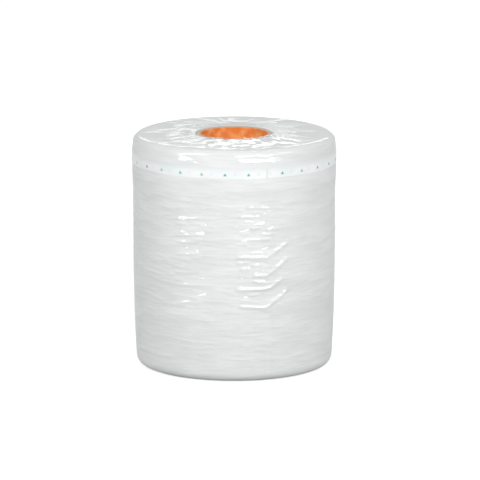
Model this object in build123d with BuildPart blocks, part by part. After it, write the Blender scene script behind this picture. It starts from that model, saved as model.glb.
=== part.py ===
from build123d import *
import math
import os

# A roll of uninflated air column film on a paper core, standing on its end in its clear wrap.
# Millimetres. Z runs up the core, and the origin is the centre of the base it stands on.
# The front, near the tail of the roll, looks along -Y, and angles from it grow towards +X.

os.makedirs("parts", exist_ok=True)

# Core
core_bore_diameter = 76.2
core_wall = 6.0
core_chamfer = 0.6

# Film wound on the core, as wide as the core is long. The roll is widest at its valve strip, and
# stands in from there by these insets elsewhere
web_width = 265.0
roll_radius = 116.0
foot_inset = 4.4
low_inset = 2.2
middle_inset = 1.1
head_inset = 0.9
low_height = 60.0
middle_height = 125.0
swell_start_distance = 62.0
swell_full_distance = 45.0
foot_corner = 11.0
head_corner = 8.0
web_step = 0.5
tail_angle = 17.8

# Edges of the turns that stand back a little in each end of the roll
turn_groove_outset = 21.0
turn_groove_width = 2.0
turn_groove_depth = 0.5

# Valve strip near the head edge of the web, with one printed mark for each air column
strip_distance = 17.6
strip_width = 13.6
strip_thickness = 0.4
columns_per_turn = 27.5
first_mark_lead = 0.75
mark_width = 4.0
mark_height = 3.6
mark_thickness = 0.2
mark_rise = 4.4

# Clear wrap, drawn over the whole roll and gathered round both mouths of the core
wrap_thickness = 0.6
wrap_clearance = 0.15
wrap_lip = 1.2
mouth_clearance = 1.1
facet_count = 60
crease_pitch = 6.8
crease_depth = 0.9
smooth_depth = 0.2
ridge_share = 0.45
fewest_waves = 5
pleat_rise = 2.4
pleat_levels = 4
pleat_curve = 1.3
rim_width = 1.0
ridge_reach_short = 30.0
ridge_reach_long = 62.0
valley_reach = 22.0
floor_relief = 0.2
hollow_reach_short = 15.0
hollow_reach_long = 38.0

core_bore_radius = core_bore_diameter / 2
core_outer_radius = core_bore_radius + core_wall
foot_radius = roll_radius - foot_inset
low_radius = roll_radius - low_inset
middle_radius = roll_radius - middle_inset
head_radius = roll_radius - head_inset
roll_base = wrap_thickness
roll_top = roll_base + web_width
strip_top = roll_top - strip_distance
strip_base = strip_top - strip_width
tail_direction = tail_angle - 90
facet_angle = 360 / facet_count
mouth_radius = core_bore_radius + mouth_clearance
corner_leans = (0, 45, 90)
golden_share = 0.618


# The web is one long spiral: its radius grows by the web's step over each turn, and share is
# how far round a turn a point lies, from the tail's direction at 0 back to the tail itself at 1.
def turn_radius(tail_radius, share):
    return tail_radius - web_step * (1 - share)


def turn_point(tail_radius, share):
    return Vector(turn_radius(tail_radius, share), 0).rotate(Axis.Z, tail_direction + 360 * share)


def draw_arc(tail_radius, start, end):
    middle = (start + end) / 2
    ThreePointArc(*(turn_point(tail_radius, share) for share in (start, middle, end)))


def draw_turn(tail_radius):
    for quarter in range(4):
        draw_arc(tail_radius, quarter / 4, (quarter + 1) / 4)
    Line(turn_point(tail_radius, 1), turn_point(tail_radius, 0))


def draw_ribbon(tail_radius, thickness):
    for quarter in range(4):
        draw_arc(tail_radius + thickness, quarter / 4, (quarter + 1) / 4)
        draw_arc(tail_radius, quarter / 4, (quarter + 1) / 4)
    for end in (0, 1):
        Line(turn_point(tail_radius, end), turn_point(tail_radius + thickness, end))


# Heights and radii up a surface that lies these distances outside the wound film. Where it goes
# over the valve strip it stands out by bump as well.
def stations(side_gap=0, foot_gap=0, head_gap=0, bump=0):
    points = []
    for lean in corner_leans:
        drop = (foot_corner + foot_gap) * math.cos(math.radians(lean))
        reach = side_gap + foot_corner * math.sin(math.radians(lean))
        points.append((roll_base + foot_corner - drop, foot_radius - foot_corner + reach))
    points.append((low_height, low_radius + side_gap))
    points.append((middle_height, middle_radius + side_gap))
    points.append((roll_top - swell_start_distance, middle_radius + side_gap))
    points.append((roll_top - swell_full_distance, roll_radius + side_gap))
    if bump:
        points.append((strip_base - wrap_lip, roll_radius + side_gap))
        points.append((strip_base, roll_radius + side_gap + bump))
        points.append((strip_top, roll_radius + side_gap + bump))
    points.append((strip_top + wrap_lip, roll_radius + side_gap))
    for lean in reversed(corner_leans):
        rise = (head_corner + head_gap) * math.cos(math.radians(lean))
        reach = side_gap + head_corner * math.sin(math.radians(lean))
        points.append((roll_top - head_corner + rise, head_radius - head_corner + reach))
    return points


# The paper tube that the film is wound on.
with BuildPart() as core_tube:
    with BuildSketch(Plane.XY.offset(roll_base)):
        Circle(core_outer_radius)
        Circle(core_bore_radius, mode=Mode.SUBTRACT)
    extrude(amount=web_width)
    bore_face = core_tube.faces().filter_by(GeomType.CYLINDER).sort_by(SortBy.AREA)[0]
    chamfer(bore_face.edges().filter_by(GeomType.CIRCLE), length=core_chamfer)
core_tube.part.label = "core_tube"


# All turns of the web are one solid, with the step of the last turn's tail down its side.
with BuildPart() as film_roll:
    for height, radius in stations():
        with BuildSketch(Plane.XY.offset(height)):
            with BuildLine():
                draw_turn(radius)
            make_face()
    loft(ruled=True)
    with BuildSketch(Plane.XY.offset(roll_base)):
        Circle(core_outer_radius)
    extrude(amount=web_width, mode=Mode.SUBTRACT)
    groove_radius = core_outer_radius + turn_groove_outset
    for end_height, into in ((roll_base, 1), (roll_top, -1)):
        with BuildSketch(Plane.XY.offset(end_height)):
            with BuildLine():
                draw_turn(groove_radius + turn_groove_width)
            make_face()
            with BuildLine():
                draw_turn(groove_radius)
            make_face(mode=Mode.SUBTRACT)
        extrude(amount=into * turn_groove_depth, mode=Mode.SUBTRACT)
film_roll.part.label = "film_roll"


# One turn of the valve strip, from under the tail round to the tail.
with BuildPart() as valve_strip:
    with BuildSketch(Plane.XY.offset(strip_base)):
        with BuildLine():
            draw_ribbon(roll_radius, strip_thickness)
        make_face()
    extrude(amount=strip_width)
valve_strip.part.label = "valve_strip"


# A small triangle on each column of the last turn, as thick as the ink and bent with the strip.
with BuildPart() as ink_marks:
    for column in range(int(columns_per_turn)):
        share = (first_mark_lead + column) / columns_per_turn
        outward = turn_point(roll_radius, share).normalized()
        middle = outward * core_outer_radius + Vector(0, 0, strip_base + mark_rise)
        across = Vector(0, 0, 1).cross(outward)
        slope = math.hypot(mark_width / 2, mark_height)
        with BuildSketch(Plane(origin=middle, x_dir=across, z_dir=outward)):
            Triangle(a=mark_width, b=slope, c=slope)
        extrude(amount=roll_radius)
    with BuildSketch(Plane.XY.offset(strip_base)):
        with BuildLine():
            draw_ribbon(roll_radius + strip_thickness, mark_thickness)
        make_face()
    extrude(amount=strip_width, mode=Mode.INTERSECT)
ink_marks.part.label = "ink_marks"


# A level outline of the wrap: straight between its corners, which lie on the facet lines.
def draw_skin(radii):
    corners = []
    for corner, radius in enumerate(radii):
        corners.append(Vector(radius, 0).rotate(Axis.Z, tail_direction + facet_angle * corner))
    Polyline(*corners, close=True)


# The wrap bridges the step at the tail, so its corner there lies on the outer turn.
def skin_radius(tail_radius, corner):
    share = corner / facet_count if corner else 1
    return turn_radius(tail_radius, share)


# Short creases run round the side: levels stand out and in by turns, and waves that differ from
# level to level break each ridge up into lengths of a few facets.
def crease(level, corner):
    waves = fewest_waves + (level * 3) % 5
    swing = math.sin(math.radians(facet_angle * corner * waves + 360 * golden_share * level))
    return ridge_share * (level % 2) + (1 - ridge_share) * (1 + swing) / 2


def side_levels():
    levels = []
    keys = stations(wrap_clearance + wrap_thickness, wrap_thickness, wrap_thickness,
                    strip_thickness + mark_thickness)
    for (start, start_radius), (end, end_radius) in zip(keys, keys[1:]):
        parts = max(1, round((end - start) / crease_pitch))
        for part in range(parts):
            share = part / parts
            radius = start_radius + (end_radius - start_radius) * share
            levels.append((start + (end - start) * share, radius))
    levels.append(keys[-1])
    return levels


def crease_room(height):
    if height < roll_base + foot_corner or height > roll_top - head_corner:
        return 0
    if height >= strip_base - wrap_lip:
        return smooth_depth
    return crease_depth


# Pleats run in to the mouth, no two neighbours of one length. Even corners are their ridges and
# odd corners the valleys between them, so each level outline on the end is a star.
def uneven_reach(corner, short, long):
    return short + (long - short) * ((corner * golden_share) % 1)


def pleat_radius(corner, share):
    reach = valley_reach if corner % 2 else uneven_reach(corner, ridge_reach_short, ridge_reach_long)
    return mouth_radius + rim_width + reach * (1 - share) ** pleat_curve


# Under the floor, hollows run out between the pleats, and close up where the film lies flat.
def hollow_radius(corner, share):
    reach = uneven_reach(corner, hollow_reach_short, hollow_reach_long) if corner % 2 else rim_width
    return mouth_radius + rim_width + reach * (1 - share)


# What the wrap goes round: the roll and its valve strip with a little room, the mouths of the
# core, and under the floor the hollows between the pleats that the roll's weight presses flat.
with BuildPart() as wrap_hollow:
    for height, radius in stations(wrap_clearance, bump=strip_thickness + mark_thickness):
        with BuildSketch(Plane.XY.offset(height)):
            with BuildLine():
                draw_turn(radius)
            make_face()
    loft(ruled=True)
    with BuildSketch():
        Circle(mouth_radius)
    extrude(amount=roll_top + wrap_thickness + pleat_rise)
    for share in (0, 1):
        with BuildSketch(Plane.XY.offset(floor_relief * share)):
            with BuildLine():
                draw_skin([hollow_radius(corner, share) for corner in range(facet_count)])
            make_face()
    loft(ruled=True)


with BuildPart() as overwrap:
    for level, (height, radius) in enumerate(side_levels()):
        room = crease_room(height)
        with BuildSketch(Plane.XY.offset(height)):
            with BuildLine():
                draw_skin([skin_radius(radius, corner) + room * crease(level, corner)
                           for corner in range(facet_count)])
            make_face()
    for level in range(1, pleat_levels + 1):
        share = level / pleat_levels
        with BuildSketch(Plane.XY.offset(roll_top + wrap_thickness + pleat_rise * share)):
            with BuildLine():
                draw_skin([pleat_radius(corner, share) for corner in range(facet_count)])
            make_face()
    loft(ruled=True, clean=False)
    add(wrap_hollow.part, clean=False, mode=Mode.SUBTRACT)
overwrap.part.label = "overwrap"


export_step(core_tube.part, "parts/core_tube.step")
export_step(film_roll.part, "parts/film_roll.step")
export_step(valve_strip.part, "parts/valve_strip.step")
export_step(ink_marks.part, "parts/ink_marks.step")
export_step(overwrap.part, "parts/overwrap.step")
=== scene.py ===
import bpy
import bmesh
import math
import random
import numpy as np
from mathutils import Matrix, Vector, noise


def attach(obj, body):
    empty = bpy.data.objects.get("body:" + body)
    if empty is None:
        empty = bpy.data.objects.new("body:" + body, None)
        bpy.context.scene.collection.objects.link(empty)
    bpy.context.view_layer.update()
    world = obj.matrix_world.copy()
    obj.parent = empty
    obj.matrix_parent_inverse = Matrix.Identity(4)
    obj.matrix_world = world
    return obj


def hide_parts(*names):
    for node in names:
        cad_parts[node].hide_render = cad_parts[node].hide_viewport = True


# An air column roll: its paper core, the wound milky film, the white valve strip with green marks, and the
# clear wrap gathered round both mouths of the core. Metres, with +Z up the core. Angles round the roll are in
# degrees from the front (-Y) towards +X.

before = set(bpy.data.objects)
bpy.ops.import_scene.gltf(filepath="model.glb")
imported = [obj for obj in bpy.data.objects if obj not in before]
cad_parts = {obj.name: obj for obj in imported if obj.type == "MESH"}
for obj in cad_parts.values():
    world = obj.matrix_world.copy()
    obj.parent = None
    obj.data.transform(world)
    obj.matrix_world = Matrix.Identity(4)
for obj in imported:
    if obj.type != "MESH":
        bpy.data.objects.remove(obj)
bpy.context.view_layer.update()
mm = 0.001


# A value that is a socket is linked, and any other value is set on the node's own socket.
def addNode(tree, kind, inputs=None, **settings):
    made = tree.nodes.new(kind)
    for name, value in settings.items():
        setattr(made, name, value)
    for key, value in (inputs or {}).items():
        if isinstance(value, bpy.types.NodeSocket):
            tree.links.new(value, made.inputs[key])
        else:
            made.inputs[key].default_value = value
    return made


def mathNode(tree, operation, a, b=0.0):
    return addNode(tree, "ShaderNodeMath", {0: a, 1: b}, operation=operation).outputs[0]


def vectorNode(tree, operation, inputs, output=0):
    return addNode(tree, "ShaderNodeVectorMath", inputs, operation=operation).outputs[output]


def noiseNode(tree, vector, scale, detail=2.0, roughness=0.5):
    inputs = {"Vector": vector, "Scale": scale, "Detail": detail, "Roughness": roughness}
    return addNode(tree, "ShaderNodeTexNoise", inputs).outputs[0]


def mapRange(tree, value, source, target=(0.0, 1.0)):
    inputs = {"Value": value, "From Min": source[0], "From Max": source[1],
              "To Min": target[0], "To Max": target[1]}
    return addNode(tree, "ShaderNodeMapRange", inputs, interpolation_type="SMOOTHSTEP").outputs["Result"]


def mixColour(tree, factor, a, b):
    return addNode(tree, "ShaderNodeMix", {0: factor, 6: a, 7: b}, data_type="RGBA").outputs[2]


def mixNumber(tree, factor, a, b):
    return addNode(tree, "ShaderNodeMix", {0: factor, 2: a, 3: b}, data_type="FLOAT").outputs[0]


def objectCoords(tree):
    return addNode(tree, "ShaderNodeTexCoord").outputs["Object"]


# The point straight below coords at floor level, whose length is the distance from the axis.
def onFloor(tree, coords):
    return vectorNode(tree, "MULTIPLY", {0: coords, 1: (1.0, 1.0, 0.0)})


# Depth is the bump's strength and its distance.
def addBump(tree, surface, depth, height):
    inputs = {"Strength": depth[0], "Distance": depth[1], "Height": height}
    tree.links.new(addNode(tree, "ShaderNodeBump", inputs).outputs[0], surface.inputs["Normal"])


def newGroup(name, inputs, outputs):
    tree = bpy.data.node_groups.new(name, "ShaderNodeTree")
    for label, value in inputs.items():
        socket = tree.interface.new_socket(name=label, in_out="INPUT", socket_type="NodeSocketFloat")
        socket.default_value = value
    for label in outputs:
        tree.interface.new_socket(name=label, in_out="OUTPUT", socket_type="NodeSocketFloat")
    return tree, tree.nodes.new("NodeGroupInput"), tree.nodes.new("NodeGroupOutput")


def useGroup(tree, group, values):
    made = tree.nodes.new("ShaderNodeGroup")
    made.node_tree = group
    for name, value in values.items():
        made.inputs[name].default_value = value
    return made


def newMaterial(name):
    material = bpy.data.materials.new(name)
    material.use_nodes = True
    tree = material.node_tree
    tree.nodes.clear()
    surface = tree.nodes.new("ShaderNodeBsdfPrincipled")
    output = tree.nodes.new("ShaderNodeOutputMaterial")
    tree.links.new(surface.outputs[0], output.inputs[0])
    return material, tree, surface


def srgb(red, green, blue):
    linear = (((c / 255 + 0.055) / 1.055) ** 2.4 if c > 10 else c / 3294 for c in (red, green, blue))
    return tuple(linear) + (1.0,)


# How the noise of the shared effects becomes ridges and streaks, and which slopes count as an end.
effectLook = {"streaks": (0.35, 0.68), "levelRidge": 0.16, "radialRidge": 0.12, "endSlopes": (0.35, 0.8)}


def sendWaves(tree, waves, ridgeWidth, end):
    away = mathNode(tree, "ABSOLUTE", mathNode(tree, "SUBTRACT", waves, 0.5))
    tree.links.new(mapRange(tree, away, (0.0, ridgeWidth), (1.0, 0.0)), end.inputs["Height"])
    tree.links.new(mapRange(tree, waves, effectLook["streaks"]), end.inputs["Streaks"])


# Short creases that lie round the roll: noise stretched along the turn.
def makeLevelCreases():
    sockets = {"Around": 22.0, "Up": 150.0, "Seed": 0.0}
    tree, start, end = newGroup("levelCreases", sockets, ["Height", "Streaks"])
    around = start.outputs["Around"]
    scale = addNode(tree, "ShaderNodeCombineXYZ", {0: around, 1: around, 2: start.outputs["Up"]}).outputs[0]
    stretched = vectorNode(tree, "MULTIPLY", {0: objectCoords(tree), 1: scale})
    inputs = {"Vector": stretched, "W": start.outputs["Seed"], "Scale": 1.0, "Detail": 3.0,
              "Roughness": 0.5, "Distortion": 0.25}
    waves = addNode(tree, "ShaderNodeTexNoise", inputs, noise_dimensions="4D").outputs[0]
    sendWaves(tree, waves, effectLook["levelRidge"], end)
    return tree


# Folds that run out from the mouth, and how far a point is from the axis.
def makeRadialStreaks():
    sockets = {"Count": 9.0, "Along": 14.0}
    tree, start, end = newGroup("radialStreaks", sockets, ["Height", "Streaks", "Radius"])
    flat = onFloor(tree, objectCoords(tree))
    radius = vectorNode(tree, "LENGTH", {0: flat}, "Value")
    outward = vectorNode(tree, "NORMALIZE", {0: flat})
    spread = vectorNode(tree, "SCALE", {0: outward, "Scale": start.outputs["Count"]})
    along = mathNode(tree, "MULTIPLY", radius, start.outputs["Along"])
    depth = addNode(tree, "ShaderNodeCombineXYZ", {2: along}).outputs[0]
    place = vectorNode(tree, "ADD", {0: spread, 1: depth})
    waves = noiseNode(tree, place, scale=1.0, detail=3.0, roughness=0.55)
    sendWaves(tree, waves, effectLook["radialRidge"], end)
    tree.links.new(radius, end.inputs["Radius"])
    return tree


levelCreases = makeLevelCreases()
radialStreaks = makeRadialStreaks()


# 1 on faces that look up or down, 0 on the side.
def endMask(tree):
    normal = addNode(tree, "ShaderNodeNewGeometry").outputs["Normal"]
    up = addNode(tree, "ShaderNodeSeparateXYZ", {0: normal}).outputs[2]
    return mapRange(tree, mathNode(tree, "ABSOLUTE", up), effectLook["endSlopes"])


print("stage 1: shared effects ready")


coreLook = {
    "orange": srgb(247, 174, 106), "deepOrange": srgb(234, 128, 52), "endPaper": srgb(186, 168, 146),
    "endDark": srgb(160, 142, 122), "boreRadius": 38.35 * mm, "boreFade": 0.4 * mm, "seamPitch": 0.105,
    "seamWidth": 0.012, "seamShare": 0.55, "mottleScale": 90.0, "mottle": (0.38, 0.66),
    "fibreScale": 900.0, "fibres": (0.35, 0.65), "fibreHeight": 0.4, "wear": (0.3, 0.7),
    "roughness": (0.55, 0.72), "bump": (0.25, 0.3 * mm),
}


# Orange paper in the bore with the seam of its winding, and grey tan paper on the ends.
def makeCoreMaterial():
    material, tree, surface = newMaterial("woundPaper")
    look = coreLook
    coords = objectCoords(tree)
    parts = addNode(tree, "ShaderNodeSeparateXYZ", {0: coords})
    radius = vectorNode(tree, "LENGTH", {0: onFloor(tree, coords)}, "Value")
    angle = mathNode(tree, "ARCTAN2", parts.outputs[1], parts.outputs[0])
    turn = mathNode(tree, "DIVIDE", angle, 2 * math.pi)
    rise = mathNode(tree, "DIVIDE", parts.outputs[2], look["seamPitch"])
    phase = mathNode(tree, "FRACT", mathNode(tree, "SUBTRACT", rise, turn))
    away = mathNode(tree, "ABSOLUTE", mathNode(tree, "SUBTRACT", phase, 0.5))
    seam = mapRange(tree, away, (0.0, look["seamWidth"]), (1.0, 0.0))
    mottle = noiseNode(tree, coords, look["mottleScale"], detail=5.0, roughness=0.65)
    fibres = noiseNode(tree, coords, look["fibreScale"])
    warm = mixColour(tree, mapRange(tree, mottle, look["mottle"]), look["deepOrange"], look["orange"])
    warm = mixColour(tree, mathNode(tree, "MULTIPLY", seam, look["seamShare"]), warm, look["deepOrange"])
    paper = mixColour(tree, mapRange(tree, fibres, look["fibres"]), look["endDark"], look["endPaper"])
    boreEdge = (look["boreRadius"], look["boreRadius"] + look["boreFade"])
    inside = mapRange(tree, radius, boreEdge, (1.0, 0.0))
    tree.links.new(mixColour(tree, inside, paper, warm), surface.inputs["Base Color"])
    tree.links.new(mapRange(tree, mottle, look["wear"], look["roughness"]), surface.inputs["Roughness"])
    height = mathNode(tree, "SUBTRACT", mathNode(tree, "MULTIPLY", fibres, look["fibreHeight"]), seam)
    addBump(tree, surface, look["bump"], height)
    return material


def dressNode(name, material):
    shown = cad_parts[name]
    shown.data.materials.clear()
    shown.data.materials.append(material)


dressNode("core_tube", makeCoreMaterial())
print("stage 2: core finished")


# The roll's own sizes. Creases are fine enough to catch the light between creasedLow and creasedHigh, and
# in the shares of a turn up to creasedAfter and from creasedBefore, so rows and columns lie closer there.
rollShape = {
    "base": 0.6 * mm, "top": 265.6 * mm, "coreRadius": 44.1 * mm, "radius": 116.0 * mm,
    "footInset": 4.4 * mm, "lowInset": 2.2 * mm, "middleInset": 1.1 * mm, "headInset": 0.9 * mm,
    "lowHeight": 60 * mm, "middleHeight": 125 * mm, "swellStart": 62 * mm, "swellFull": 45 * mm,
    "footCorner": 11 * mm, "headCorner": 8 * mm, "webStep": 0.5 * mm, "tailAngle": 17.8,
    "stripTop": 248.0 * mm, "stripBase": 234.4 * mm, "stripLip": 1.2 * mm, "sideDepth": 12 * mm,
    "creasedLow": 80 * mm, "creasedHigh": 212 * mm, "creasedAfter": 0.05, "creasedBefore": 0.83,
    "closerColumns": 0.6, "widerRows": 1.5, "mergeReach": 1e-7,
}


# Radius of the wound film at the tail, by height, with its shoulders left out.
def sideRadius(z):
    s = rollShape
    heights = (s["base"] + s["footCorner"], s["lowHeight"], s["middleHeight"], s["top"] - s["swellStart"],
               s["top"] - s["swellFull"], s["stripTop"] + s["stripLip"], s["top"] - s["headCorner"])
    insets = (s["footInset"], s["lowInset"], s["middleInset"], s["middleInset"], 0.0, 0.0, s["headInset"])
    return s["radius"] - np.interp(z, heights, insets)


# Line from the inner edge of the top end over the side to the inner edge of the bottom end, as far outside
# the film as the gaps say. Each point is (radius, height). Rows is the spacing up the creased side, and
# endRows the spacing on the ends.
def endToEnd(innerRadius, gap, headGap, footGap, rows, endRows, cornerParts):
    s = rollShape
    topZ, baseZ = s["top"] + headGap, s["base"] - footGap
    headZ, footZ = s["top"] - s["headCorner"], s["base"] + s["footCorner"]
    headR = float(sideRadius(headZ)) - s["headCorner"]
    footR = float(sideRadius(footZ)) - s["footCorner"]
    line = []
    count = max(2, round((headR - innerRadius) / endRows))
    for i in range(count):
        line.append((innerRadius + (headR - innerRadius) * i / count, topZ))
    for i in range(cornerParts):
        lean = math.pi / 2 * i / cornerParts
        reach = s["headCorner"] + gap
        rise = (s["headCorner"] + headGap) * math.cos(lean)
        line.append((headR + reach * math.sin(lean), headZ + rise))
    z = headZ
    while z > footZ + 0.5 * rows:
        line.append((float(sideRadius(z)) + gap, z))
        z -= rows if s["creasedLow"] < z < s["creasedHigh"] else s["widerRows"] * rows
    for i in range(cornerParts):
        lean = math.pi / 2 * (1 - i / cornerParts)
        reach = s["footCorner"] + gap
        drop = (s["footCorner"] + footGap) * math.cos(lean)
        line.append((footR + reach * math.sin(lean), footZ - drop))
    count = max(2, round((footR - innerRadius) / endRows))
    for i in range(count + 1):
        line.append((footR + (innerRadius - footR) * i / count, baseZ))
    return line


# Rolls a flat grid up round the axis, one column for each share of the last turn, with the seam at the tail.
# Returns the mesh and, for each of its points, the share, the radius and height of the line there, and the
# line's outward direction.
def rollUp(name, line, steps, closed=False):
    s = rollShape
    shares = [0.0]
    while shares[-1] < 1 - s["closerColumns"] / steps:
        near = shares[-1] < s["creasedAfter"] or shares[-1] > s["creasedBefore"]
        shares.append(shares[-1] + (s["closerColumns"] if near else 1.0) / steps)
    shares = np.array(shares + [1.0, 0.0])
    rowCount = len(line) if closed else len(line) - 1
    bm = bmesh.new()
    bmesh.ops.create_grid(bm, x_segments=len(shares) - 1, y_segments=rowCount, size=1.0)
    mesh = bpy.data.meshes.new(name)
    bm.to_mesh(mesh)
    bm.free()
    flat = np.empty(len(mesh.vertices) * 3)
    mesh.vertices.foreach_get("co", flat)
    flat = flat.reshape(-1, 3)
    column = np.rint((flat[:, 0] + 1) / 2 * (len(shares) - 1)).astype(int)
    row = np.rint((flat[:, 1] + 1) / 2 * rowCount).astype(int) % len(line)
    r, z = np.array(line)[:, 0], np.array(line)[:, 1]
    if closed:
        alongR, alongZ = np.roll(r, -1) - np.roll(r, 1), np.roll(z, -1) - np.roll(z, 1)
    else:
        alongR, alongZ = np.gradient(r), np.gradient(z)
    size = np.hypot(alongR, alongZ)
    return mesh, shares[column], r[row], z[row], (-alongZ / size)[row], (alongR / size)[row]


def placeOnRoll(mesh, share, r, z):
    angle = np.radians(rollShape["tailAngle"] + 360 * (share % 1))
    points = np.stack((r * np.sin(angle), -r * np.cos(angle), z), axis=1)
    mesh.vertices.foreach_set("co", points.ravel())
    bm = bmesh.new()
    bm.from_mesh(mesh)
    bmesh.ops.remove_doubles(bm, verts=bm.verts, dist=rollShape["mergeReach"])
    bmesh.ops.recalc_face_normals(bm, faces=bm.faces)
    bm.to_mesh(mesh)
    bm.free()
    mesh.shade_smooth()


def newPiece(name, mesh, material):
    piece = bpy.data.objects.new(name, mesh)
    bpy.context.scene.collection.objects.link(piece)
    mesh.materials.append(material)
    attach(piece, "root")
    return piece


def smoothRamp(x):
    x = np.clip(x, 0, 1)
    return x * x * (3 - 2 * x)


# How far the spiral stands in, at a share of the last turn: nothing at the tail, and one step by tailReach
# degrees past it.
def spiralInset(share, r, innerRadius, tailReach):
    reach = np.clip((r - innerRadius) / (rollShape["radius"] - innerRadius), 0, 1)
    return rollShape["webStep"] * (1 - share) * reach * smoothRamp(share * 360 / tailReach)


# Creases are placed by how far round the last turn they lie, from the tail, and by height, in metres. The
# pairs are from and to. Each column of the web lies between two welds.
creaseLook = {
    "seed": 5, "turnRadius": 115.6 * mm, "columns": 27.5, "firstWeld": 0.5, "weldGap": (0.02, 0.35),
    "spacing": (4.2 * mm, 8.2 * mm), "height": (0.12 * mm, 0.5 * mm), "width": (0.9 * mm, 1.4 * mm),
    "slope": 0.09, "sag": 0.8 * mm, "joinedShare": 0.15, "joinedReach": 0.8, "underStrip": 4 * mm,
    "ridgePower": 1.5, "ridgeReach": 3, "endPower": 0.6, "fineCount": 420,
    "fineHeight": (0.08 * mm, 0.3 * mm), "fineWidth": (0.8 * mm, 1.3 * mm), "fineReach": (8 * mm, 24 * mm),
    "fineSlope": 0.25, "fineBend": 0.4, "fineFoot": 6 * mm, "fineHead": 2 * mm, "patchTilt": (-0.25, 0.3),
    "patchSag": 0.6 * mm, "highestSlant": 208, "slantShift": 0.3, "slantTurn": 4,
    "slantReach": (0.7, 1.2), "slantHeight": (0.6, 1.1), "kneeReach": 0.2, "kneeFall": 0.1,
    "mostHeight": 1.6 * mm, "mostTogether": 1.65 * mm, "stripGap": 1.5 * mm, "stripFade": 5 * mm,
    "footFade": 9 * mm,
}
aroundRoll = 2 * math.pi * creaseLook["turnRadius"]

# Folds seen at the front, from end to end by angle and height in millimetres, then how high and how wide they
# are in millimetres.
seenFolds = [
    ([(1.5, 144.6), (9.9, 144.2), (17.9, 144.0), (20.3, 145.4), (31.5, 159.4)], 1.6, 2.0),
    ([(11.0, 123.5), (18.5, 122.7), (21.5, 126.9), (31.5, 141.1)], 1.6, 2.0),
    ([(1.5, 107.9), (9.9, 107.6), (17.4, 107.4), (21.3, 109.7), (27.7, 117.8)], 1.6, 2.0),
    ([(3.2, 88.3), (12.3, 86.7), (18.1, 86.0), (21.6, 90.7), (31.6, 105.4)], 1.6, 2.0),
    ([(21.1, 77.5), (26.6, 78.8)], 0.9, 1.7),
    ([(7.1, 201.4), (17.9, 200.5), (28.8, 199.3)], 0.7, 1.5),
    ([(3.2, 163.4), (8.8, 163.7), (13.3, 164.5), (20.3, 164.8)], 0.9, 1.7),
    ([(-34.4, 185.6), (-19.4, 188.3)], 0.7, 1.5), ([(-31.0, 173.6), (-22.0, 175.3)], 0.8, 1.8),
    ([(-34.4, 166.7), (-19.4, 169.5)], 0.8, 1.6), ([(-34.4, 158.7), (-19.4, 161.5)], 0.8, 1.6),
    ([(-34.5, 145.0), (-19.4, 147.8)], 0.8, 1.6), ([(-34.5, 124.3), (-19.4, 127.2)], 0.8, 1.6),
    ([(-34.6, 109.4), (-19.4, 112.3)], 0.8, 1.6), ([(-34.7, 89.7), (-19.5, 92.7)], 0.7, 1.6),
]
seenThinning = 0.12

# Short level folds between them: angle and height in millimetres of one end, then of the other.
shortFolds = {
    "height": 0.95 * mm, "width": 1.6 * mm,
    "ends": (
        (3.2, 190.6, 9.5, 190.8), (10.8, 181.7, 17.6, 183.2), (9.5, 177.5, 15.7, 178.7),
        (18.3, 175.0, 26.0, 175.5), (3.8, 171.0, 8.5, 171.6), (15.9, 169.7, 23.9, 170.7),
        (1.4, 159.4, 7.2, 160.1), (8.5, 149.6, 15.7, 149.9), (1.4, 138.2, 8.5, 138.8),
        (9.5, 134.6, 16.2, 136.1), (3.4, 130.7, 9.3, 132.1), (10.8, 117.4, 17.6, 116.3),
        (7.5, 101.1, 14.1, 101.9), (4.1, 94.5, 8.5, 95.6), (-34.2, 198.5, -28.7, 199.0),
        (-24.0, 182.0, -18.7, 181.5), (-34.2, 180.6, -28.1, 180.6), (-32.0, 170.3, -28.7, 170.2),
        (-24.6, 164.5, -19.0, 164.2), (-44.1, 137.3, -39.3, 137.4), (-24.4, 142.6, -19.0, 143.2),
        (-35.6, 130.8, -29.1, 131.4), (-35.7, 115.7, -29.2, 116.3), (-24.1, 104.2, -20.2, 104.4),
        (-37.8, 86.4, -28.3, 87.7), (-24.8, 96.1, -20.2, 96.5),
    ),
}

# Where the wrap has many short folds: from and to in degrees and in millimetres, and how many. Their reach,
# height and width are in millimetres.
busyPatches = [
    {"angles": (1, 31), "levels": (84, 204), "count": 46, "reach": (3.0, 8.0), "height": (0.6, 1.15),
     "width": 1.6},
    {"angles": (-36, -16), "levels": (84, 196), "count": 32, "reach": (3.0, 8.0), "height": (0.6, 1.1),
     "width": 1.6},
    {"angles": (-80, 75), "levels": (22, 212), "count": 110, "reach": (2.5, 8.0), "height": (0.3, 0.8),
     "width": 1.9},
    {"angles": (75, 280), "levels": (22, 212), "count": 170, "reach": (2.5, 8.0), "height": (0.3, 0.7),
     "width": 2.0},
]

# Rows of slanted folds of the wrap: the angle that each is centred on, how many degrees it reaches either
# way, how far it falls over that, and how many there are, with their spacing and size in millimetres.
slantedFolds = [
    {"angle": -74, "reach": 15, "fall": 14, "count": 14, "spacing": 13.5, "height": 0.8, "width": 2.1},
    {"angle": 76, "reach": 14, "fall": -18, "count": 13, "spacing": 14.0, "height": 0.95, "width": 2.2},
    {"angle": 148, "reach": 14, "fall": 12, "count": 12, "spacing": 15.0, "height": 0.5, "width": 2.0},
    {"angle": 205, "reach": 13, "fall": -14, "count": 12, "spacing": 14.0, "height": 0.5, "width": 2.0},
]


# Turns points given by angle and height in millimetres into places on the last turn.
def onTurn(points):
    return [(math.radians(angle - rollShape["tailAngle"]) * creaseLook["turnRadius"], z * mm)
            for angle, z in points]


# Height across a ridge: 1 on its line, and next to nothing at ridgeReach widths from it.
def ridgeAcross(away, width):
    return np.exp(-(away / width) ** creaseLook["ridgePower"])


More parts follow.
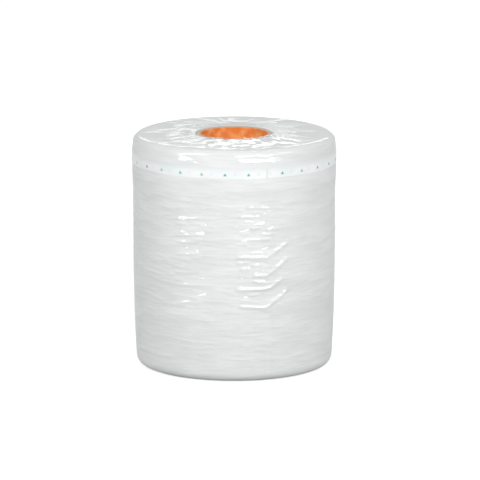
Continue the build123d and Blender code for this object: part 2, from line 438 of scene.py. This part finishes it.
# Adds a ridge along a line of points to height. It thins out at both ends, over a part of its half length.
def addFold(height, arc, level, points, width, tall, thinning=0.4):
    margin = creaseLook["ridgeReach"] * width
    low, high = min(z for _, z in points) - margin, max(z for _, z in points) + margin
    first, last = min(x for x, _ in points), max(x for x, _ in points)
    middle, half = (first + last) / 2, (last - first) / 2
    offset = (arc - middle + aroundRoll / 2) % aroundRoll - aroundRoll / 2
    near = np.flatnonzero((level > low) & (level < high) & (np.abs(offset) < half + margin))
    if near.size == 0:
        return
    x, z = offset[near] + middle, level[near]
    away = np.full(near.size, 1.0)
    for (x0, z0), (x1, z1) in zip(points, points[1:]):
        long = math.hypot(x1 - x0, z1 - z0)
        part = np.clip(((x - x0) * (x1 - x0) + (z - z0) * (z1 - z0)) / long ** 2, 0, 1)
        away = np.minimum(away, np.hypot(x - x0 - part * (x1 - x0), z - z0 - part * (z1 - z0)))
    ends = np.clip((half + width - np.abs(offset[near])) / (thinning * half + width), 0, 1)
    height[near] += tall * ends ** creaseLook["endPower"] * ridgeAcross(away, width)


# The creases die out just below the valve strip, which lies smooth.
def belowStrip(level):
    edge = rollShape["stripBase"] - creaseLook["stripGap"]
    return np.clip((edge - level) / creaseLook["stripFade"], 0, 1)


# The creases of the web: each column has its own, and a few of them run on into the next.
def webCreases(arc, level):
    look = creaseLook
    rng = random.Random(look["seed"])
    height = np.zeros(arc.size)
    column = aroundRoll / look["columns"]
    for k in range(math.ceil(look["columns"])):
        z = rollShape["base"] + rollShape["footCorner"]
        while z < rollShape["stripBase"] - look["underStrip"]:
            z += rng.uniform(*look["spacing"])
            start = (k - look["firstWeld"] + rng.uniform(*look["weldGap"])) * column
            end = (k + 1 - look["firstWeld"] - rng.uniform(*look["weldGap"])) * column
            if rng.random() < look["joinedShare"]:
                end += column * look["joinedReach"]
            rise = (end - start) * rng.uniform(-1, 1) * look["slope"]
            sag = rng.uniform(-1, 1) * look["sag"]
            line = [(start, z - rise), ((start + end) / 2, z + sag), (end, z + rise)]
            width, tall = rng.uniform(*look["width"]), rng.uniform(*look["height"])
            addFold(height, arc, level, line, width, tall)
    for points, tall, width in seenFolds:
        addFold(height, arc, level, onTurn(points), width * mm, tall * mm, seenThinning)
    for angle0, z0, angle1, z1 in shortFolds["ends"]:
        line = onTurn([(angle0, z0), (angle1, z1)])
        addFold(height, arc, level, line, shortFolds["width"], shortFolds["height"])
    aboveFoot = np.clip((level - rollShape["base"]) / look["footFade"], 0, 1)
    return np.minimum(height, look["mostHeight"]) * belowStrip(level) * aboveFoot


# The wrap's own creases: short ones all round, busy patches, and rows of slanted folds.
def wrapCreases(arc, level):
    look = creaseLook
    rng = random.Random(look["seed"] + 1)
    height = np.zeros(arc.size)
    lowest = rollShape["base"] + look["fineFoot"]
    highest = rollShape["stripBase"] - look["fineHead"]
    for _ in range(look["fineCount"]):
        middle = rng.random() * aroundRoll
        z = lowest + rng.random() * (highest - lowest)
        reach, slope = rng.uniform(*look["fineReach"]), rng.uniform(-1, 1) * look["fineSlope"]
        bend = reach * slope * look["fineBend"]
        line = [(middle - reach, z - reach * slope), (middle, z), (middle + reach, z + bend)]
        width, tall = rng.uniform(*look["fineWidth"]), rng.uniform(*look["fineHeight"])
        addFold(height, arc, level, line, width, tall)
    for patch in busyPatches:
        for _ in range(patch["count"]):
            middle, z = onTurn([(rng.uniform(*patch["angles"]), rng.uniform(*patch["levels"]))])[0]
            reach = rng.uniform(*patch["reach"]) * mm
            tilt = reach * rng.uniform(*look["patchTilt"])
            sag = rng.uniform(-1, 1) * look["patchSag"]
            line = [(middle - reach, z - tilt), (middle, z + sag), (middle + reach, z + tilt)]
            addFold(height, arc, level, line, patch["width"] * mm, rng.uniform(*patch["height"]) * mm)
    for row in slantedFolds:
        for k in range(row["count"]):
            shift = rng.uniform(-look["slantShift"], look["slantShift"])
            z = look["highestSlant"] - row["spacing"] * (k + shift)
            middle = row["angle"] + rng.uniform(-look["slantTurn"], look["slantTurn"])
            reach = row["reach"] * rng.uniform(*look["slantReach"])
            knee = (middle + reach * look["kneeReach"], z - row["fall"] * look["kneeFall"])
            ends = ((middle - reach, z + row["fall"]), knee, (middle + reach, z - row["fall"]))
            tall = row["height"] * rng.uniform(*look["slantHeight"]) * mm
            addFold(height, arc, level, onTurn(ends), row["width"] * mm, tall)
    return height * belowStrip(level)


filmLook = {
    "milk": srgb(240, 242, 241), "shade": srgb(225, 228, 227), "steps": 260, "rows": 1.15 * mm,
    "endRows": 5 * mm, "cornerParts": 6, "coreGap": 0.03 * mm, "tailReach": 4.0,
    "broad": {"Around": 16.0, "Up": 95.0, "Seed": 1.0}, "fine": {"Around": 40.0, "Up": 420.0, "Seed": 4.0},
    "radial": {"Count": 14.0, "Along": 20.0}, "ringsPerMetre": 700.0, "broadShare": 0.6,
    "fineHeight": 0.3, "roughness": (0.42, 0.56), "endRoughness": 0.85, "specular": 0.12,
    "bump": (0.3, 0.6 * mm),
}


# Milky film with creases round its side, and with the edges of its turns as rings on the ends.
def makeFilmMaterial():
    material, tree, surface = newMaterial("milkyFilm")
    look = filmLook
    broad, fine = useGroup(tree, levelCreases, look["broad"]), useGroup(tree, levelCreases, look["fine"])
    radial = useGroup(tree, radialStreaks, look["radial"])
    ends = endMask(tree)
    turns = mathNode(tree, "MULTIPLY", radial.outputs["Radius"], look["ringsPerMetre"])
    inputs = {"W": turns, "Scale": 1.0, "Detail": 2.0}
    rings = addNode(tree, "ShaderNodeTexNoise", inputs, noise_dimensions="1D").outputs[0]
    side = mixNumber(tree, look["broadShare"], fine.outputs["Streaks"], broad.outputs["Streaks"])
    tone = mixNumber(tree, ends, side, rings)
    tree.links.new(mixColour(tree, tone, look["shade"], look["milk"]), surface.inputs["Base Color"])
    worn = mapRange(tree, side, (0.0, 1.0), look["roughness"])
    tree.links.new(mixNumber(tree, ends, worn, look["endRoughness"]), surface.inputs["Roughness"])
    surface.inputs["Specular IOR Level"].default_value = look["specular"]
    shallow = mathNode(tree, "MULTIPLY", fine.outputs["Height"], look["fineHeight"])
    height = mathNode(tree, "ADD", broad.outputs["Height"], shallow)
    addBump(tree, surface, look["bump"], mixNumber(tree, ends, height, rings))
    return material


def makeFilmRoll():
    look = filmLook
    inner = rollShape["coreRadius"] + look["coreGap"]
    line = endToEnd(inner, 0.0, 0.0, 0.0, look["rows"], look["endRows"], look["cornerParts"])
    mesh, share, r, z, outR, outZ = rollUp("wound_film", line, look["steps"], closed=True)
    height = np.zeros(r.size)
    side = r > rollShape["radius"] - rollShape["sideDepth"]
    height[side] = webCreases(share[side] * aroundRoll, z[side])
    r = r - spiralInset(share, r, inner, look["tailReach"])
    placeOnRoll(mesh, share, r + outR * height, z + outZ * height)
    piece = newPiece("wound_film", mesh, makeFilmMaterial())
    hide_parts("film_roll")
    return piece


woundFilm = makeFilmRoll()
print("stage 3: wound film", len(woundFilm.data.polygons))


stripLook = {
    "white": srgb(250, 252, 252), "cool": srgb(240, 244, 245), "thin": srgb(228, 231, 232),
    "thinFrom": (240 * mm, 248 * mm), "thinShare": 0.85, "fine": {"Around": 30.0, "Up": 60.0, "Seed": 8.0},
    "roughness": (0.3, 0.42), "bump": (0.2, 0.3 * mm), "below": srgb(212, 230, 225), "belowPhase": 0.315,
    "belowHeight": 239.6 * mm, "belowWidth": (0.04, 0.1), "belowReach": (1.0 * mm, 2.2 * mm),
    "belowShare": 0.32,
}
inkLook = {
    "green": srgb(16, 174, 140), "paleGreen": srgb(70, 200, 168), "fadedGreen": srgb(196, 226, 216),
    "patchScale": 420.0, "patches": (0.4, 0.62), "fadedScale": 34.0, "faded": (0.52, 0.66),
    "fadedShare": 0.5, "wear": (0.3, 0.7), "roughness": (0.4, 0.55),
}


# The marks of the turn below, which show through faintly between the printed ones.
def marksBelow(tree, coords, up):
    look = stripLook
    flat = addNode(tree, "ShaderNodeSeparateXYZ", {0: coords})
    toFront = mathNode(tree, "MULTIPLY", flat.outputs[1], -1.0)
    angle = mathNode(tree, "ARCTAN2", flat.outputs[0], toFront)
    past = mathNode(tree, "SUBTRACT", angle, math.radians(rollShape["tailAngle"]))
    share = mathNode(tree, "FRACT", mathNode(tree, "DIVIDE", past, 2 * math.pi))
    column = mathNode(tree, "MULTIPLY", share, creaseLook["columns"])
    phase = mathNode(tree, "FRACT", mathNode(tree, "ADD", column, look["belowPhase"]))
    beside = mathNode(tree, "ABSOLUTE", mathNode(tree, "SUBTRACT", phase, 0.5))
    across = mapRange(tree, beside, look["belowWidth"], (1.0, 0.0))
    away = mathNode(tree, "ABSOLUTE", mathNode(tree, "SUBTRACT", up, look["belowHeight"]))
    near = mapRange(tree, away, look["belowReach"], (look["belowShare"], 0.0))
    return mathNode(tree, "MULTIPLY", across, near)


def makeStripMaterial():
    material, tree, surface = newMaterial("valveFilm")
    look = stripLook
    fine = useGroup(tree, levelCreases, look["fine"])
    coords = objectCoords(tree)
    up = addNode(tree, "ShaderNodeSeparateXYZ", {0: coords}).outputs[2]
    thin = mapRange(tree, up, look["thinFrom"], (0.0, look["thinShare"]))
    milky = mixColour(tree, fine.outputs["Streaks"], look["cool"], look["white"])
    milky = mixColour(tree, thin, milky, look["thin"])
    marked = mixColour(tree, marksBelow(tree, coords, up), milky, look["below"])
    tree.links.new(marked, surface.inputs["Base Color"])
    rough = mapRange(tree, fine.outputs["Streaks"], (0.0, 1.0), look["roughness"])
    tree.links.new(rough, surface.inputs["Roughness"])
    addBump(tree, surface, look["bump"], fine.outputs["Height"])
    return material


# Printed green, patchy within a mark and more faded on some marks than on others.
def makeInkMaterial():
    material, tree, surface = newMaterial("greenInk")
    look = inkLook
    coords = objectCoords(tree)
    patches = noiseNode(tree, coords, look["patchScale"])
    worn = noiseNode(tree, coords, look["fadedScale"], detail=1.0)
    green = mixColour(tree, mapRange(tree, patches, look["patches"]), look["paleGreen"], look["green"])
    faded = mapRange(tree, worn, look["faded"], (0.0, look["fadedShare"]))
    tree.links.new(mixColour(tree, faded, green, look["fadedGreen"]), surface.inputs["Base Color"])
    tree.links.new(mapRange(tree, patches, look["wear"], look["roughness"]), surface.inputs["Roughness"])
    return material


dressNode("valve_strip", makeStripMaterial())
dressNode("ink_marks", makeInkMaterial())
print("stage 4: valve strip and marks finished")


wrapLook = {
    "steps": 260, "rows": 1.1 * mm, "endRows": 2.2 * mm, "cornerParts": 10, "gap": 0.3 * mm,
    "mouthRadius": 40.2 * mm, "tailReach": 6.0, "overStrip": 0.62 * mm, "stripLead": 4 * mm,
    "stripTail": 6 * mm, "frill": 0.9 * mm, "frillReach": 5 * mm, "frillSway": 2, "swayWaves": 3, "seed": 7,
    # Material: grey radial streaks on the ends, strongest near the mouth, are painted pleat shade on the
    # folded film.
    "tint": srgb(248, 249, 249), "alpha": 0.17, "ior": 3.8, "roughness": 0.06,
    "side": {"Around": 26.0, "Up": 190.0, "Seed": 2.0}, "radial": {"Count": 16.0, "Along": 26.0},
    "bump": (0.25, 0.4 * mm), "endBump": 0.3, "pleatShade": srgb(112, 115, 117),
    "pleatShadeFrom": (58 * mm, 104 * mm), "pleatShadeShares": (1.0, 0.15),
    # Pleats of both ends.
    "pleats": 66, "pleatHeight": (0.5 * mm, 1.8 * mm), "pleatWidth": (1.2 * mm, 2.6 * mm),
    "pleatReach": (18 * mm, 70 * mm), "pleatShift": 0.35, "pleatWander": 0.07, "pleatPower": 0.7,
    "mouthFade": 9 * mm, "mouthShare": 0.05, "footShare": 0.2, "mostAtFoot": 1.0 * mm, "footDepth": 0.5 * mm,
    # Rise of the top end towards the mouth, and the small folds on it, which are higher at the front.
    "rise": 3.3 * mm, "riseReach": 69 * mm, "riseStart": 13 * mm, "pucker": 0.12 * mm,
    "frontPucker": 0.9 * mm, "frontSpread": 38.0, "puckerScales": (130, 75), "puckerPlane": 3.0,
    "puckerLift": 0.5, "puckersFrom": 48 * mm, "puckerFade": 14 * mm, "edgeFade": 3 * mm,
    # Small folds on the loose places by the shoulder.
    "looseScales": (0.12, 90), "loosePlane": 5.0, "looseShare": 0.15,
}

# Loose bulges of the wrap near its front edge: angle, then radius, size and height in millimetres.
looseBulges = [(-26, 104, 11, 1.1), (-15, 108, 10, 1.2), (0, 106, 8, 0.8), (9, 108, 8, 1.3),
               (26, 107, 8, 1.3)]

# Places where it stands off the roll between the valve strip and the front edge: angle and spread in
# degrees, then height, reach up and down, and how far it stands off in millimetres.
shoulderBulges = [(-31, 8, 252.5, 5.5, 2.1), (23.5, 4.8, 252.5, 5.5, 2.1), (11.5, 4.8, 252.5, 5.5, 2.1),
                  (3, 4, 254, 4.5, 1.3)]


# Clear gloss film. A high index with a low alpha gives it the highlights of a thin film over milky white.
def makeWrapMaterial():
    material, tree, surface = newMaterial("clearWrap")
    look = wrapLook
    side, radial = useGroup(tree, levelCreases, look["side"]), useGroup(tree, radialStreaks, look["radial"])
    ends = endMask(tree)
    height = mixNumber(tree, ends, side.outputs["Height"], radial.outputs["Height"])
    depth = mapRange(tree, ends, (0.0, 1.0), (1.0, look["endBump"]))
    addBump(tree, surface, look["bump"], mathNode(tree, "MULTIPLY", height, depth))
    # Painted pleat shade: grey radial streaks mixed into the colour of the ends, most near the mouth.
    near = mapRange(tree, radial.outputs["Radius"], look["pleatShadeFrom"], look["pleatShadeShares"])
    paintedPleatShade = mathNode(tree, "MULTIPLY", mathNode(tree, "MULTIPLY", ends, near), radial.outputs["Streaks"])
    tree.links.new(mixColour(tree, paintedPleatShade, look["tint"], look["pleatShade"]), surface.inputs["Base Color"])
    surface.inputs["Roughness"].default_value = look["roughness"]
    surface.inputs["IOR"].default_value = look["ior"]
    surface.inputs["Alpha"].default_value = look["alpha"]
    return material


# Radial pleats on one end, each a ridge that starts at the mouth and thins out on its way to the rim.
def endPleats(rng, angle, r):
    look = wrapLook
    shift, sway = look["pleatShift"], look["pleatWander"]
    height = np.zeros(r.size)
    for k in range(look["pleats"]):
        centre = (k + rng.uniform(-shift, shift)) / look["pleats"] * 2 * math.pi
        reach, wander = rng.uniform(*look["pleatReach"]), rng.uniform(-sway, sway)
        width, tall = rng.uniform(*look["pleatWidth"]), rng.uniform(*look["pleatHeight"])
        out = (r - look["mouthRadius"]) / reach
        offset = np.abs((angle - centre - wander * out + math.pi) % (2 * math.pi) - math.pi) * r
        near = (out < 1) & (offset < creaseLook["ridgeReach"] * width)
        height[near] += tall * (1 - out[near]) ** look["pleatPower"] * ridgeAcross(offset[near], width)
    return height * np.clip((r - look["mouthRadius"]) / look["mouthFade"], look["mouthShare"], 1)


# Angle from the front, of a point whose angle from the tail is in radians.
def angleFromFront(angle):
    return (np.degrees(angle) + rollShape["tailAngle"] + 180) % 360 - 180


# Smooth noise, between about -1 and 1, at each pair of places.
def noiseAt(first, second, plane):
    return np.array([noise.noise(Vector((a, b, plane))) for a, b in zip(first, second)])


# The rise of the top end towards the mouth, and what lies loose on it.
def topPuckers(angle, r, z):
    look = wrapLook
    seenAt = angleFromFront(angle)
    turn = np.radians(seenAt)
    out = r - look["mouthRadius"]
    height = look["rise"] * np.clip(1 - out / look["riseReach"], 0, 1)
    height *= np.clip(out / look["riseStart"], 0, 1)
    loose = look["pucker"] + look["frontPucker"] * np.exp(-(seenAt / look["frontSpread"]) ** 2)
    across, along = look["puckerScales"]
    folds = noiseAt(np.sin(turn) * r * across, np.cos(turn) * r * along, look["puckerPlane"])
    fade = np.clip((r - look["puckersFrom"]) / look["puckerFade"], 0, 1)
    height += loose * (folds + look["puckerLift"]) * fade
    for place, radius, size, tall in looseBulges:
        x = r * np.sin(turn) - radius * mm * math.sin(math.radians(place))
        y = r * np.cos(turn) - radius * mm * math.cos(math.radians(place))
        height += tall * mm * np.exp(-(x * x + y * y) / (size * mm) ** 2)
    edge = rollShape["top"] - rollShape["headCorner"]
    return height * np.clip((z - edge) / look["edgeFade"], 0, 1)


# How far the wrap stands off at its loose places by the shoulder.
def looseShoulder(angle, z):
    seenAt = angleFromFront(angle)
    around, up = wrapLook["looseScales"]
    folds = noiseAt(seenAt * around, z * up, wrapLook["loosePlane"])
    height = np.zeros(z.size)
    for place, spread, level, reach, tall in shoulderBulges:
        away = ((seenAt - place) / spread) ** 2 + ((z - level * mm) / (reach * mm)) ** 2
        height += tall * mm * np.exp(-away)
    return height * (1 + wrapLook["looseShare"] * folds)


def makeWrap():
    look, s = wrapLook, rollShape
    rng = random.Random(look["seed"])
    gap = look["gap"]
    line = endToEnd(look["mouthRadius"], gap, gap, gap, look["rows"], look["endRows"], look["cornerParts"])
    mesh, share, r, z, outR, outZ = rollUp("clear_wrap", line, look["steps"])
    angle = share * 2 * math.pi
    overStrip = look["overStrip"]
    levels = (s["stripBase"] - look["stripLead"], s["stripBase"], s["stripTop"],
              s["stripTop"] + look["stripTail"])
    height = np.interp(z, levels, (0, overStrip, overStrip, 0))
    side = r > s["radius"] - s["sideDepth"]
    arc, level = share[side] * aroundRoll, z[side]
    creases = webCreases(arc, level) + wrapCreases(arc, level)
    height[side] += np.minimum(creases, creaseLook["mostTogether"]) + looseShoulder(angle[side], level)
    atTop = z > s["top"] - s["headCorner"]
    height[atTop] += endPleats(rng, angle[atTop], r[atTop]) + topPuckers(angle[atTop], r[atTop], z[atTop])
    atFoot = z < s["base"] + look["footDepth"]
    flattened = np.minimum(endPleats(rng, angle[atFoot], r[atFoot]), look["mostAtFoot"])
    height[atFoot] += flattened * look["footShare"]
    sway = np.sin(look["pleats"] * angle + look["frillSway"] * np.sin(look["swayWaves"] * angle))
    atMouth = np.clip(1 - (r - look["mouthRadius"]) / look["frillReach"], 0, 1)
    r = r + look["frill"] * (1 + sway) * atMouth
    r = r - spiralInset(share, r, s["coreRadius"], look["tailReach"])
    placeOnRoll(mesh, share, r + outR * height, z + outZ * height)
    piece = newPiece("clear_wrap", mesh, makeWrapMaterial())
    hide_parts("overwrap")
    return piece


clearWrap = makeWrap()
print("stage 5: clear wrap", len(clearWrap.data.polygons))


# Boxes are placed by azimuth and elevation, as seen from the middle of the roll.
studio = {
    "ambient": 0.4, "floorGlow": 0.78, "floorSize": 8.0, "floorTone": 0.45, "middle": (0, 0, 0.13),
    "boxes": [
        {"name": "rightBox", "at": (23, 23), "distance": 1.6, "size": (1.1, 0.14), "power": 11.5},
        {"name": "leftBox", "at": (-50, 23), "distance": 1.6, "size": (0.8, 0.11), "power": 7.8},
        {"name": "sideBox", "at": (56, 30), "distance": 2.0, "size": (1.0, 0.8), "power": 3.4},
        {"name": "backBox", "at": (180, 22.4), "distance": 2.6, "size": (1.3, 0.23), "power": 10.5},
        {"name": "topBox", "at": (180, 86), "distance": 1.9, "size": (1.3, 0.09), "power": 2.2},
        {"name": "backFill", "at": (180, 2), "distance": 2.5, "size": (1.0, 0.4), "power": 4.4},
    ],
}
view = {"elevation": 11.5, "distance": 6.484, "target": (0, 0, 0.1334), "lens": 427.0, "sensor": 36.0,
        "shiftX": 0.0120, "shiftY": 0.0150, "clipEnd": 50}


# 1 for rays that see the white surroundings, 0 for those that only bring light.
def seenRays(tree):
    paths = addNode(tree, "ShaderNodeLightPath")
    seen = mathNode(tree, "MAXIMUM", paths.outputs["Is Camera Ray"], paths.outputs["Is Glossy Ray"])
    return mathNode(tree, "MAXIMUM", seen, paths.outputs["Is Transmission Ray"])


def makeWorld():
    world = bpy.data.worlds.new("studioWorld")
    bpy.context.scene.world = world
    world.use_nodes = True
    tree = world.node_tree
    tree.nodes.clear()
    more = mathNode(tree, "MULTIPLY", seenRays(tree), 1.0 - studio["ambient"])
    strength = mathNode(tree, "ADD", studio["ambient"], more)
    light = addNode(tree, "ShaderNodeBackground", {"Color": (1, 1, 1, 1), "Strength": strength})
    output = addNode(tree, "ShaderNodeOutputWorld")
    tree.links.new(light.outputs[0], output.inputs[0])


def makeFloor():
    bm = bmesh.new()
    bmesh.ops.create_grid(bm, x_segments=1, y_segments=1, size=studio["floorSize"])
    mesh = bpy.data.meshes.new("floor")
    bm.to_mesh(mesh)
    bm.free()
    material, tree, surface = newMaterial("paleFloor")
    surface.inputs["Base Color"].default_value = (studio["floorTone"],) * 3 + (1.0,)
    surface.inputs["Roughness"].default_value = 1.0
    surface.inputs["Specular IOR Level"].default_value = 0.0
    surface.inputs["Emission Color"].default_value = (1, 1, 1, 1)
    glow = mathNode(tree, "MULTIPLY", seenRays(tree), studio["floorGlow"])
    tree.links.new(glow, surface.inputs["Emission Strength"])
    floor = bpy.data.objects.new("floor", mesh)
    bpy.context.scene.collection.objects.link(floor)
    mesh.materials.append(material)


# Places a lamp or camera this far from target, and turns it to look there.
def placeLooking(name, data, azimuth, elevation, distance, target):
    a, e = math.radians(azimuth), math.radians(elevation)
    away = Vector((math.sin(a) * math.cos(e), -math.cos(a) * math.cos(e), math.sin(e)))
    holder = bpy.data.objects.new(name, data)
    holder.location = Vector(target) + away * distance
    holder.rotation_euler = away.to_track_quat("Z", "Y").to_euler()
    bpy.context.scene.collection.objects.link(holder)
    return holder


def addSoftBox(box):
    lamp = bpy.data.lights.new(box["name"], "AREA")
    lamp.shape, lamp.energy = "RECTANGLE", box["power"]
    lamp.size, lamp.size_y = box["size"]
    placeLooking(box["name"], lamp, *box["at"], box["distance"], studio["middle"])


def makeCamera():
    camera = bpy.data.cameras.new("camera")
    camera.lens, camera.sensor_width = view["lens"], view["sensor"]
    camera.shift_x, camera.shift_y = view["shiftX"], view["shiftY"]
    camera.clip_end = view["clipEnd"]
    holder = placeLooking("camera", camera, 0, view["elevation"], view["distance"], view["target"])
    bpy.context.scene.camera = holder


makeWorld()
makeFloor()
for box in studio["boxes"]:
    addSoftBox(box)
makeCamera()
bpy.context.scene.view_settings.view_transform = "Standard"
print("stage 6: studio and camera ready")
